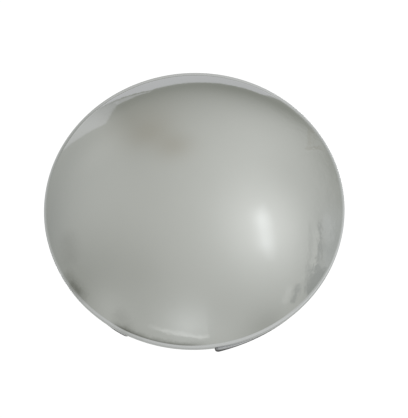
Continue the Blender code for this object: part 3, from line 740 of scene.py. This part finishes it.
def brackets():
    """Head bracket and wall bracket with eased edges, and the weld beads outside their ears."""
    for node in ("head_bracket", "wall_bracket"):
        from_cad(f"{node}_plate", node, "galvanised_steel", PLATE_EASE)
    ear_outer = EAR_INNER + EAR_PLATE
    head_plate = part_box("head_bracket")[0].y + EAR_PLATE
    reach = EAR_HALF_WIDTH - 1.5 * MM
    bm = bmesh.new()
    for side in (-1, 1):
        ends = [Vector((side * ear_outer, head_plate, up * reach)) for up in (-1, 1)]
        weld_bead(bm, *ends, (Vector((-side, 0, 0)), Vector((0, -1, 0))))
    piece(object_from("head_bracket_welds", bm), HEAD, "galvanised_steel", sharp=60)
    bm = bmesh.new()
    rib = EAR_PLATE / 2 + 2.2 * MM
    for side in (-1, 1):
        for across in (-1, 1):
            ends = [Vector((x * across, -WALL_PLATE, side * ear_outer)) for x in (rib, reach)]
            weld_bead(bm, *ends, (Vector((0, 0, -side)), Vector((0, 1, 0))))
    piece(object_from("wall_bracket_welds", bm), WALL, "galvanised_steel", sharp=60)


def arm():
    """Square tube with round corners and its cross holes, and the plugs in its ends."""
    low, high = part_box("arm_tube")
    side = high.x - low.x
    outer = rounded_square(side, TUBE_BENDS[0])
    inner = rounded_square(side - 2 * ARM_WALL, TUBE_BENDS[1])
    bm = bmesh.new()
    prism(bm, outer, low.y, high.y, "Y", hole=inner)
    made = object_from("arm_square_tube", bm)
    cutters = []
    for joint, axis in JOINT_AXES.items():
        for part, thread in CROSS_BOLTS.items():
            y = stand(f"{joint}_{part}_bolt", axis)[0].y
            at = (y, 0) if axis == "X" else (0, y)
            cutters.append(hole_cutter(THREADS[thread]["radius"] + HOLE_CLEARANCE, -side, side, axis, at))
    cut_holes(made, cutters)
    piece(made, ARM, "galvanised_steel", "arm_tube", sharp=30)
    for node in ("arm_cap_front", "arm_cap_rear"):
        from_cad(f"{node}_plug", node, "black_plastic", PLUG_EASE)


# ---- fasteners


TURNS = {
    "Y": Matrix.Identity(4),
    "X": Matrix.Rotation(-math.pi / 2, 4, "Z"),
    "Z": Matrix.Rotation(math.pi / 2, 4, "X"),
}


def hexagon(angle, flats):
    """The distance from a hexagon's middle to its side, at an angle."""
    lean = (angle + math.pi / 6) % (math.pi / 3) - math.pi / 6
    return flats / 2 / math.cos(lean)


def hex_ring(radius, y, flats=None, chamfer=0):
    """One ring about the Y axis: a circle, or a hexagon whose height drops towards its corners."""
    ring = []
    for i in range(HEX_SEGMENTS):
        angle = 2 * math.pi * i / HEX_SEGMENTS
        reach = hexagon(angle, flats) if flats else radius
        drop = chamfer * (reach - radius) if flats else 0
        ring.append((reach * math.cos(angle), y + drop, reach * math.sin(angle)))
    return ring


def thread_rings(radius, pitch, start, end):
    """Rings of a screw thread from start to end along Y, with a chamfered tip."""
    depth = 0.54 * pitch
    per_pitch = 8
    count = max(2, int((end - start) / pitch * per_pitch))
    rings = []
    for i in range(count + 1):
        y = start + (end - start) * i / count
        limit = radius - max(0.0, y - (end - depth))
        ring = []
        for k in range(HEX_SEGMENTS):
            angle = 2 * math.pi * k / HEX_SEGMENTS
            phase = (y / pitch - k / HEX_SEGMENTS) % 1
            reach = min(radius - depth * abs(2 * phase - 1), limit)
            ring.append((reach * math.cos(angle), y, reach * math.sin(angle)))
        rings.append(ring)
    return rings


CHAMFER = math.tan(math.radians(30))
HEX_FLAT = 0.475  # radius of the flat on a hexagon's top, as a share of the width across flats
TIP_PITCHES = 12  # threaded length of a bolt, in pitches


def bolt(bm, size, length):
    """A hexagon bolt: its head stands below y = 0 and its thread ends at y = length."""
    flats, head, radius, pitch = size["flats"], size["head"], size["radius"], size["pitch"]
    flat = HEX_FLAT * flats
    washer = 0.4 * MM
    thread_start = max(length - TIP_PITCHES * pitch, 1 * MM)
    plain = [
        (flat * 0.5, -head),
        (flat * 0.97, -head),
        (flat, -head + 0.1 * MM),
        (flat, -head + 0.1 * MM, flats, CHAMFER),
        (flat, -washer, flats),
        (flat, -washer),
        (flat, 0),
        (radius, 0),
        (radius, thread_start),
    ]
    rings = [hex_ring(*ring) for ring in plain]
    rings += thread_rings(radius, pitch, thread_start + 0.3 * MM, length)
    rings.append(hex_ring(radius * 0.5, length))
    loft(bm, rings)


def nut(bm, size, height, flange=None):
    """A hexagon nut that stands on y = 0, with or without a round flange at its foot."""
    flats = size["flats"]
    bore = size["radius"] + 0.3 * MM
    flat = HEX_FLAT * flats
    sink = 0.7 * MM
    foot = [(bore, sink * 0.6), (bore + sink, 0)]
    if flange:
        foot += [
            (flange - 0.3 * MM, 0),
            (flange, 0.3 * MM),
            (flange, 0.9 * MM),
            (flange - 0.3 * MM, 1.2 * MM),
            (flats * 0.56, 2.2 * MM),
            (flat, 2.4 * MM, flats),
        ]
    else:
        foot += [(flat, 0), (flat, 0, flats, CHAMFER)]
    top = [(flat, height, flats, -CHAMFER), (flat, height), (bore + sink, height), (bore, height - sink)]
    loft(bm, [hex_ring(*ring) for ring in foot + top], closed=True)


def washer(bm, inner, outer, thickness):
    """A flat ring with eased edges, standing on y = 0."""
    ease = min(0.35 * MM, thickness / 4)
    profile = [(inner, 0, 0), (outer, 0, ease), (outer, thickness, ease), (inner, thickness, 0)]
    turned(bm, filleted(profile, closed=True, steps=3), WASHER_SEGMENTS, closed=True)


def placed(name, bm, axis, start, turn, node, slot):
    """Turns a shape made along +Y to its axis, puts its y = 0 at start, and finishes it."""
    spin = Matrix.Rotation(turn, 4, "Y")
    bmesh.ops.transform(bm, matrix=Matrix.Translation(start) @ TURNS[axis] @ spin, verts=bm.verts)
    piece(object_from(name, bm), body_of(node), slot, node, sharp=28)


def stand(node, axis):
    """Where a fastener starts along its axis, its length and its radius."""
    low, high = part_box(node)
    along = "XYZ".index(axis)
    start, size = (low + high) / 2, high - low
    start[along] = low[along]
    return start, size[along], max(width for i, width in enumerate(size) if i != along) / 2


def flat_washer(node, axis, thread, slot):
    start, thickness, radius = stand(node, axis)
    bm = bmesh.new()
    washer(bm, THREADS[thread]["radius"] + HOLE_CLEARANCE, radius, thickness)
    placed(f"{node}_ring", bm, axis, start, 0, node, slot)


def cross_bolt(name, axis, thread, turn):
    """A bolt through the arm, with its nut and its two washers."""
    size = THREADS[thread]
    start, length, _ = stand(f"{name}_bolt", axis)
    start["XYZ".index(axis)] += size["head"]
    bm = bmesh.new()
    bolt(bm, size, length - size["head"])
    placed(f"{name}_hex_bolt", bm, axis, start, turn, f"{name}_bolt", "zinc_plate")
    start, height, _ = stand(f"{name}_nut", axis)
    bm = bmesh.new()
    nut(bm, size, height)
    placed(f"{name}_hex_nut", bm, axis, start, turn * 2, f"{name}_nut", "zinc_plate")
    for end in ("head", "nut"):
        flat_washer(f"{name}_washer_{end}", axis, thread, "zinc_plate")


def pivots_and_locks():
    """The four cross bolts, each turned to its own angle, and the friction washers."""
    turn = 0.2
    for joint, axis in JOINT_AXES.items():
        for part, thread in CROSS_BOLTS.items():
            cross_bolt(f"{joint}_{part}", axis, thread, turn)
            turn += 0.37
        for end in ("a", "b"):
            flat_washer(f"{joint}_friction_washer_{end}", axis, CROSS_BOLTS["pivot"], "white_nylon")


def bracket_fasteners():
    """Bolts from inside the rails and flange nuts on the head bracket."""
    size = THREADS["M8"]
    for number in range(1, 5):
        node = f"bracket_bolt_{number}"
        start, length, _ = stand(node, "Y")
        start.y += size["head"]
        bm = bmesh.new()
        bolt(bm, size, length - size["head"])
        placed(f"{node}_hex", bm, "Y", start, 0.5 * number, node, "zinc_plate")
        node = f"bracket_nut_{number}"
        start, height, radius = stand(node, "Y")
        bm = bmesh.new()
        nut(bm, size, height, flange=radius)
        placed(f"{node}_flanged", bm, "Y", start, 0.9 * number, node, "zinc_plate")


def rim_screws():
    """Hexagon tapping screws with a collar, on the back pan's flange."""
    shank, flats, collar = RIM_SCREW["shank"], RIM_SCREW["flats"], RIM_SCREW["collar"]
    flat = 0.47 * flats
    for number in range(1, 9):
        node = f"rim_screw_{number}"
        start, top, _ = stand(node, "Y")
        foot = top - 4.2 * MM
        rings = [
            (shank * 0.3, 0),
            (shank, 1.5 * MM),
            (shank, foot),
            (collar - 0.2 * MM, foot),
            (collar, foot + 0.3 * MM),
            (collar, foot + 0.7 * MM),
            (collar - 0.4 * MM, foot + 1.0 * MM),
            (flats * 0.56, foot + 1.05 * MM),
            (flat, foot + 1.2 * MM, flats),
            (flat, top, flats, -CHAMFER),
            (flat, top),
            (flat * 0.75, top),
            (flat * 0.65, top - 0.5 * MM),
        ]
        bm = bmesh.new()
        loft(bm, [hex_ring(*ring) for ring in rings])
        placed(f"{node}_hex", bm, "Y", start, 0.63 * number, node, "satin_stainless")


def rivets():
    """Set blind rivets: a domed head with the broken mandrel's dimple, and the bulb inside the pan."""
    head = 1.6 * MM
    dome_turns = [math.radians(angle) for angle in (0, 12, 25, 40, 55, 68)]
    for number in range(1, 9):
        node = f"rail_rivet_{number}"
        start, top, radius = stand(node, "Y")
        foot = top - head
        bulb = [(0, 0), (2.2 * MM, 0), (3.2 * MM, 1.2 * MM), (3.4 * MM, 3.2 * MM), (3.2 * MM, 4 * MM)]
        shank = [(2.4 * MM, 4 * MM), (2.4 * MM, foot), (radius - 0.1 * MM, foot)]
        dome = [(radius * math.cos(turn), foot + head * math.sin(turn)) for turn in dome_turns]
        dimple = [(1.3 * MM, top), (1.1 * MM, top - 0.8 * MM), (0.6 * MM, top - 0.6 * MM)]
        dimple.append((0, top - 0.55 * MM))
        bm = bmesh.new()
        turned(bm, bulb + shank + dome + dimple, SMALL_SEGMENTS)
        placed(f"{node}_set", bm, "Y", start, 0, node, "zinc_plate")


# ---- studio


# What the mirror can see of the studio, by direction. Levels add up, and a negative one takes light away.
# A direction is (azimuth, elevation) in degrees or a point (x, y, z) as seen from the mirror. Azimuth 0 is in
# front of the mirror and 90 is its right.
ROOM = (1.01, 1.03, 0.97)
PLAIN = (1.0, 1.0, 1.0)
WARM = (1.04, 1.02, 0.94)
LAMP = (0.96, 1.0, 1.04)
SKY = (0.98, 0.97, 1.12)
BROWN = (0.82, 1.0, 1.18)
ROOM_LEVEL = 0.58
DARKEST = (0.02, 0.02, 0.02)
WHITE_LEVEL = 1.05  # of the surroundings as the camera sees them
CRISP = (0.006, 0.006, 0.006, 0.006)
BACKDROP_EDGE = ((-0.25, 0.137, 1), (0.32, 0.206, 1))
GLOWS = {  # direction, spread in degrees, level, tint
    "front wall": ((15, 15), 45, 0.09, WARM),
    "front wall, upper right": ((45, 45), 22, 0.11, PLAIN),
    "lamp's halo": ((36.5, 1.5), 14.5, 0.22, PLAIN),
    "lamp's wide halo": ((34, 3), 27, 0.13, LAMP),
    "lamp, upper part": ((34.3, 7.5), 3.4, 0.19, LAMP),
    "lamp, middle": ((35.8, 1.5), 3.4, 0.12, LAMP),
    "lamp, lower part": ((37.6, -5), 3.4, 0.16, LAMP),
    "brown flag overhead": ((-55, 63), 10, -0.05, BROWN),
    "brown flag, nearer": ((-34, 54), 7, -0.08, BROWN),
    "brown flag, front end": ((-14, 46), 6, -0.09, BROWN),
    "dark upper right": ((108, 60), 7, -0.04, PLAIN),
    "dark right": ((85, 5), 14, -0.19, WARM),
    "dark lower right": ((56, -46), 9, -0.09, PLAIN),
    "dark lower left": ((-75, -18), 14, -0.12, PLAIN),
    "dark lower left, nearer": ((-46, -16), 15, -0.06, PLAIN),
    "pale lower left": ((-58, -32), 7, 0.07, PLAIN),
    "pale upper right": ((90, 55), 9, 0.07, PLAIN),
    "pale beside the backdrop": ((101, 49), 4, 0.07, PLAIN),
    "dark left": ((-95, 12), 16, -0.17, WARM),
    "pale left": ((-62, 22), 16, 0.03, LAMP),
    "dark upper left": ((-92, 42), 10, -0.03, WARM),
    "floor lamp's halo": ((-3, -52), 9, 0.14, LAMP),
    "floor near the lamp": ((27, -52), 8, 0.04, PLAIN),
    "pale above the lamp": ((58, 60), 12, 0.04, PLAIN),
    "dark beside the lamp": ((52, 31), 8, -0.035, PLAIN),
    "pale at the right": ((77, -6), 6, 0.05, PLAIN),
    "dark at the lower right": ((69, -23), 5, -0.05, PLAIN),
    "dark low down": ((-9, -66), 6, -0.06, PLAIN),
    "pale low down": ((-7, -54), 4, 0.04, PLAIN),
    "dark near the floor lamp": ((20, -46), 7, -0.03, PLAIN),
    "dark lower right, nearer": ((56, -40), 5, -0.03, PLAIN),
    "pale upper left": ((-85, 64), 6, 0.03, PLAIN),
    "pale at the left": ((-66, 44), 7, 0.04, PLAIN),
    "dark at the lower left": ((-28, -23), 9, -0.03, PLAIN),
    "dark overhead": ((125, 78), 8, -0.035, PLAIN),
}
PANELS = {  # corners, softness of the edge that starts at each, level, tint
    "lamp's frame": (
        ((32.5, 13), (36, 16), (40, 8), (44, -12), (39, -13), (33, 2)),
        (0.03,) * 6, 0.04, LAMP,
    ),
    "backdrop behind the mirror": (
        ((-1.6, 0.8, 1), *BACKDROP_EDGE, (0.44, 0.32, 1), (1.0, 2.5, 1), (-1.6, 4, 1)),
        (0.006, 0.012, 0.02, 0.03, 0.05, 0.05), 0.29, SKY,
    ),
    "light panel at the left": (
        (
            (-0.63, -0.085, 1), (-0.45, 0.13, 1), (-0.44, 0.2, 1),
            (-0.56, 0.285, 1), (-1.6, 0.795, 1), (-1.6, 0.52, 1),
        ),
        (0.012, 0.012, 0.006, 0.006, 0.05, 0.012), 0.13, SKY,
    ),
    "light strip between them": (
        ((-0.455, 0.115, 1), (-0.25, 0.105, 1), (-0.25, 0.12, 1), (-0.45, 0.205, 1)),
        (0.012, 0.006, 0.006, 0.006), 0.15, SKY,
    ),
    "slanted flag": (((101.6, 54.7), (110.2, 53.2), (89.9, 48.2), (82.8, 48.5)), CRISP, -0.045, BROWN),
    "gap in the slanted flag": (((104.5, 54.2), (106.5, 53.8), (88, 48.2), (86, 48.3)), CRISP, 0.04, BROWN),
    "level flag": (((78.2, 47.4), (94.2, 46.9), (92, 46.1), (76.5, 46.2)), CRISP, -0.06, BROWN),
    "gap below the level flag": (((76.5, 45.9), (91.5, 45.7), (90, 45), (75, 45.1)), CRISP, 0.03, PLAIN),
    "right wall": (((72, 18), (71, -4), (110, -18), (110, 22)), (0.04, 0.05, 0.05, 0.1), 0.07, LAMP),
    "right wall's foot": (
        ((64, -9), (66, -19), (90, -30), (90, -6)),
        (0.06, 0.03, 0.04, 0.06), -0.15, WARM,
    ),
    "stand, dark side": (
        ((61, 10), (63, -10), (64.5, -10), (62.5, 10)),
        (0.012, 0.03, 0.012, 0.05), -0.05, PLAIN,
    ),
    "stand, light side": (
        ((64.5, 8), (65.5, -10), (67.6, -10), (67.4, 9)),
        (0.01, 0.03, 0.01, 0.03), 0.05, WARM,
    ),
    "right card's edge": (
        ((67.6, 13), (68.3, -9), (70.2, -9), (69.6, 13)),
        (0.008, 0.03, 0.01, 0.03), -0.08, WARM,
    ),
    "right card": (((69.5, 3), (70, -10), (78, -10), (78, 4)), (0.015, 0.03, 0.04, 0.03), -0.05, WARM),
    "light over the right card": (
        ((70.5, 17), (70.5, 6), (78, 6), (78, 17)),
        (0.012, 0.03, 0.04, 0.03), 0.03, SKY,
    ),
    "low flag": (((59.5, -20), (61, -28), (64, -28), (63, -19)), (0.015, 0.02, 0.015, 0.02), -0.13, WARM),
    "light beside the low flag": (
        ((55, -22), (56, -30), (59, -30), (58, -21)),
        (0.02, 0.02, 0.02, 0.03), 0.06, PLAIN,
    ),
    "floor lamp": (
        ((0.145, -0.585, -1), (-0.45, -0.675, -1), (-0.45, -1.0, -1), (0.16, -1.0, -1)),
        (0.01, 0.14, 0.16, 0.008), 0.04, PLAIN,
    ),
    "floor lamp's bright edge": (
        ((0.145, -0.585, -1), (-0.45, -0.675, -1), (-0.45, -0.72, -1), (0.16, -0.63, -1)),
        (0.01, 0.1, 0.02, 0.008), 0.15, PLAIN,
    ),
}
COVES = {  # shade or light beside an edge: the edge's ends, reach, level, tint
    "shade beside the backdrop": (BACKDROP_EDGE, 0.25, -0.36, PLAIN),
    "light close to the backdrop": (BACKDROP_EDGE, 0.05, 0.15, PLAIN),
}
LIGHTS = {  # direction, distance, size, power, seen in reflections
    "key": ((-40, 50), 3.0, 1.6, 25, False),
    "back": ((150, 40), 3.0, 1.6, 22, True),
    "back left": ((-140, 5), 3.5, 1.2, 10, True),
}
FLOOR_LEVEL = -3.2
FLOOR_REACH = 30
# The camera's angles in degrees, and its lens in millimetres
CAMERA_PLACE = {"azimuth": 1.27, "elevation": -23.63, "roll": 0.92, "distance": 2.4}
CAMERA_LENS = {"sensor_width": 36, "lens": 103.54, "shift_x": 0.024, "shift_y": -0.0128}


def direction(azimuth, elevation):
    around, above = math.radians(azimuth), math.radians(elevation)
    return Vector((math.sin(around) * math.cos(above), -math.cos(around) * math.cos(above), math.sin(above)))


def toward(place):
    return direction(*place) if len(place) == 2 else Vector(place).normalized()


def glow_mask(graph, ray, centre, spread):
    tightness = 0.5 / (1 - math.cos(math.radians(spread)))
    off = graph.math("SUBTRACT", graph.dot(ray, toward(centre)), 1.0)
    return graph.math("EXPONENT", graph.times(off, tightness))


def panel_mask(graph, ray, corners, softness):
    """1 inside the corners. An edge is a plane through the mirror, so it is straight in the room."""
    corners = [toward(corner) for corner in corners]
    middle = sum(corners, Vector())
    mask = 1.0
    for i, soft in enumerate(softness):
        plane = corners[i].cross(corners[(i + 1) % len(corners)]).normalized()
        if plane.dot(middle) < 0:
            plane = -plane
        mask = graph.times(mask, graph.ramp(graph.dot(ray, plane), -soft, soft))
    return mask


def cove_mask(graph, ray, edge, reach):
    """1 at the edge and less towards the front, above the mirror only, and not at the far left."""
    plane = toward(edge[0]).cross(toward(edge[1])).normalized()
    if plane.y > 0:
        plane = -plane
    off = graph.math("MAXIMUM", graph.dot(ray, plane), 0.0)
    mask = graph.math("EXPONENT", graph.times(off, -1 / reach))
    mask = graph.times(mask, graph.ramp(graph.dot(ray, (1, 0, 0)), -0.60, -0.39))
    return graph.times(mask, graph.ramp(graph.dot(ray, (0, 0, 1)), 0.2, 0.7))


def surroundings():
    """White for the camera. For light and reflections, a soft room with a lamp, a backdrop and flags."""
    world = bpy.data.worlds.new("studio")
    bpy.context.scene.world = world
    world.use_nodes = True
    tree = world.node_tree
    tree.nodes.clear()
    graph = Graph(tree)
    ray = graph.node("TexCoord", output="Generated")
    light = tuple(ROOM_LEVEL * channel for channel in ROOM)
    for table, mask_of in ((GLOWS, glow_mask), (PANELS, panel_mask), (COVES, cove_mask)):
        for *shape, level, tint in table.values():
            mask = mask_of(graph, ray, *shape)
            tinted = graph.vector("SCALE", tuple(level * channel for channel in tint), scale=mask)
            light = graph.vector("ADD", light, tinted)
    light = graph.vector("MAXIMUM", light, DARKEST)
    seen = graph.node("Background", {"Color": grey(1.0), "Strength": WHITE_LEVEL})
    lit = graph.node("Background", {"Color": light})
    camera_ray = graph.node("LightPath", output="Is Camera Ray")
    mixed = graph.node("MixShader", {0: camera_ray, 1: lit, 2: seen})
    output = tree.nodes.new("ShaderNodeOutputWorld")
    tree.links.new(mixed, output.inputs["Surface"])


def floor():
    """A pale floor well below the mirror, which only the camera sees."""
    graph = new_material("pale_floor", 0.0, Emission_Color=grey(1.0), Emission_Strength=0.22)
    graph.finish(graph.colour(graph.noise(3, 3), grey(0.88), grey(0.92)), 0.9)
    bm = bmesh.new()
    bmesh.ops.create_grid(bm, x_segments=1, y_segments=1, size=FLOOR_REACH)
    ground = object_from("studio_floor", bm)
    ground.location.z = FLOOR_LEVEL
    ground.data.materials.append(MATERIALS["pale_floor"])
    ground.visible_glossy = False
    ground.visible_diffuse = False


def soft_light(name, where, distance, size, power, in_reflections):
    """A round area light aimed at the origin."""
    data = bpy.data.lights.new(name, "AREA")
    data.shape = "DISK"
    data.size = size
    data.energy = power
    made = in_scene(name, data)
    made.location = toward(where) * distance
    made.rotation_euler = (-toward(where)).to_track_quat("-Z", "Y").to_euler()
    made.visible_glossy = in_reflections


def camera():
    """Below the mirror's axis and a little to its right, aimed at the middle of the rim's plane."""
    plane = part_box("mirror_face")[1].y - SKIRT_DEPTH
    back = direction(CAMERA_PLACE["azimuth"], CAMERA_PLACE["elevation"])
    data = bpy.data.cameras.new("camera")
    for name, value in CAMERA_LENS.items():
        setattr(data, name, value)
    made = in_scene("camera", data)
    made.location = Vector((0, plane, 0)) + back * CAMERA_PLACE["distance"]
    roll = Matrix.Rotation(math.radians(CAMERA_PLACE["roll"]), 3, "Z")
    made.rotation_euler = (back.to_track_quat("Z", "Y").to_matrix() @ roll).to_euler()
    bpy.context.scene.camera = made


# ---- assembly


mirror_face()
edge_seal()
back_pan()
rails()
brackets()
arm()
pivots_and_locks()
bracket_fasteners()
rim_screws()
rivets()
surroundings()
floor()
for light, settings in LIGHTS.items():
    soft_light(light, *settings)
camera()
bpy.context.scene.view_settings.view_transform = "Standard"
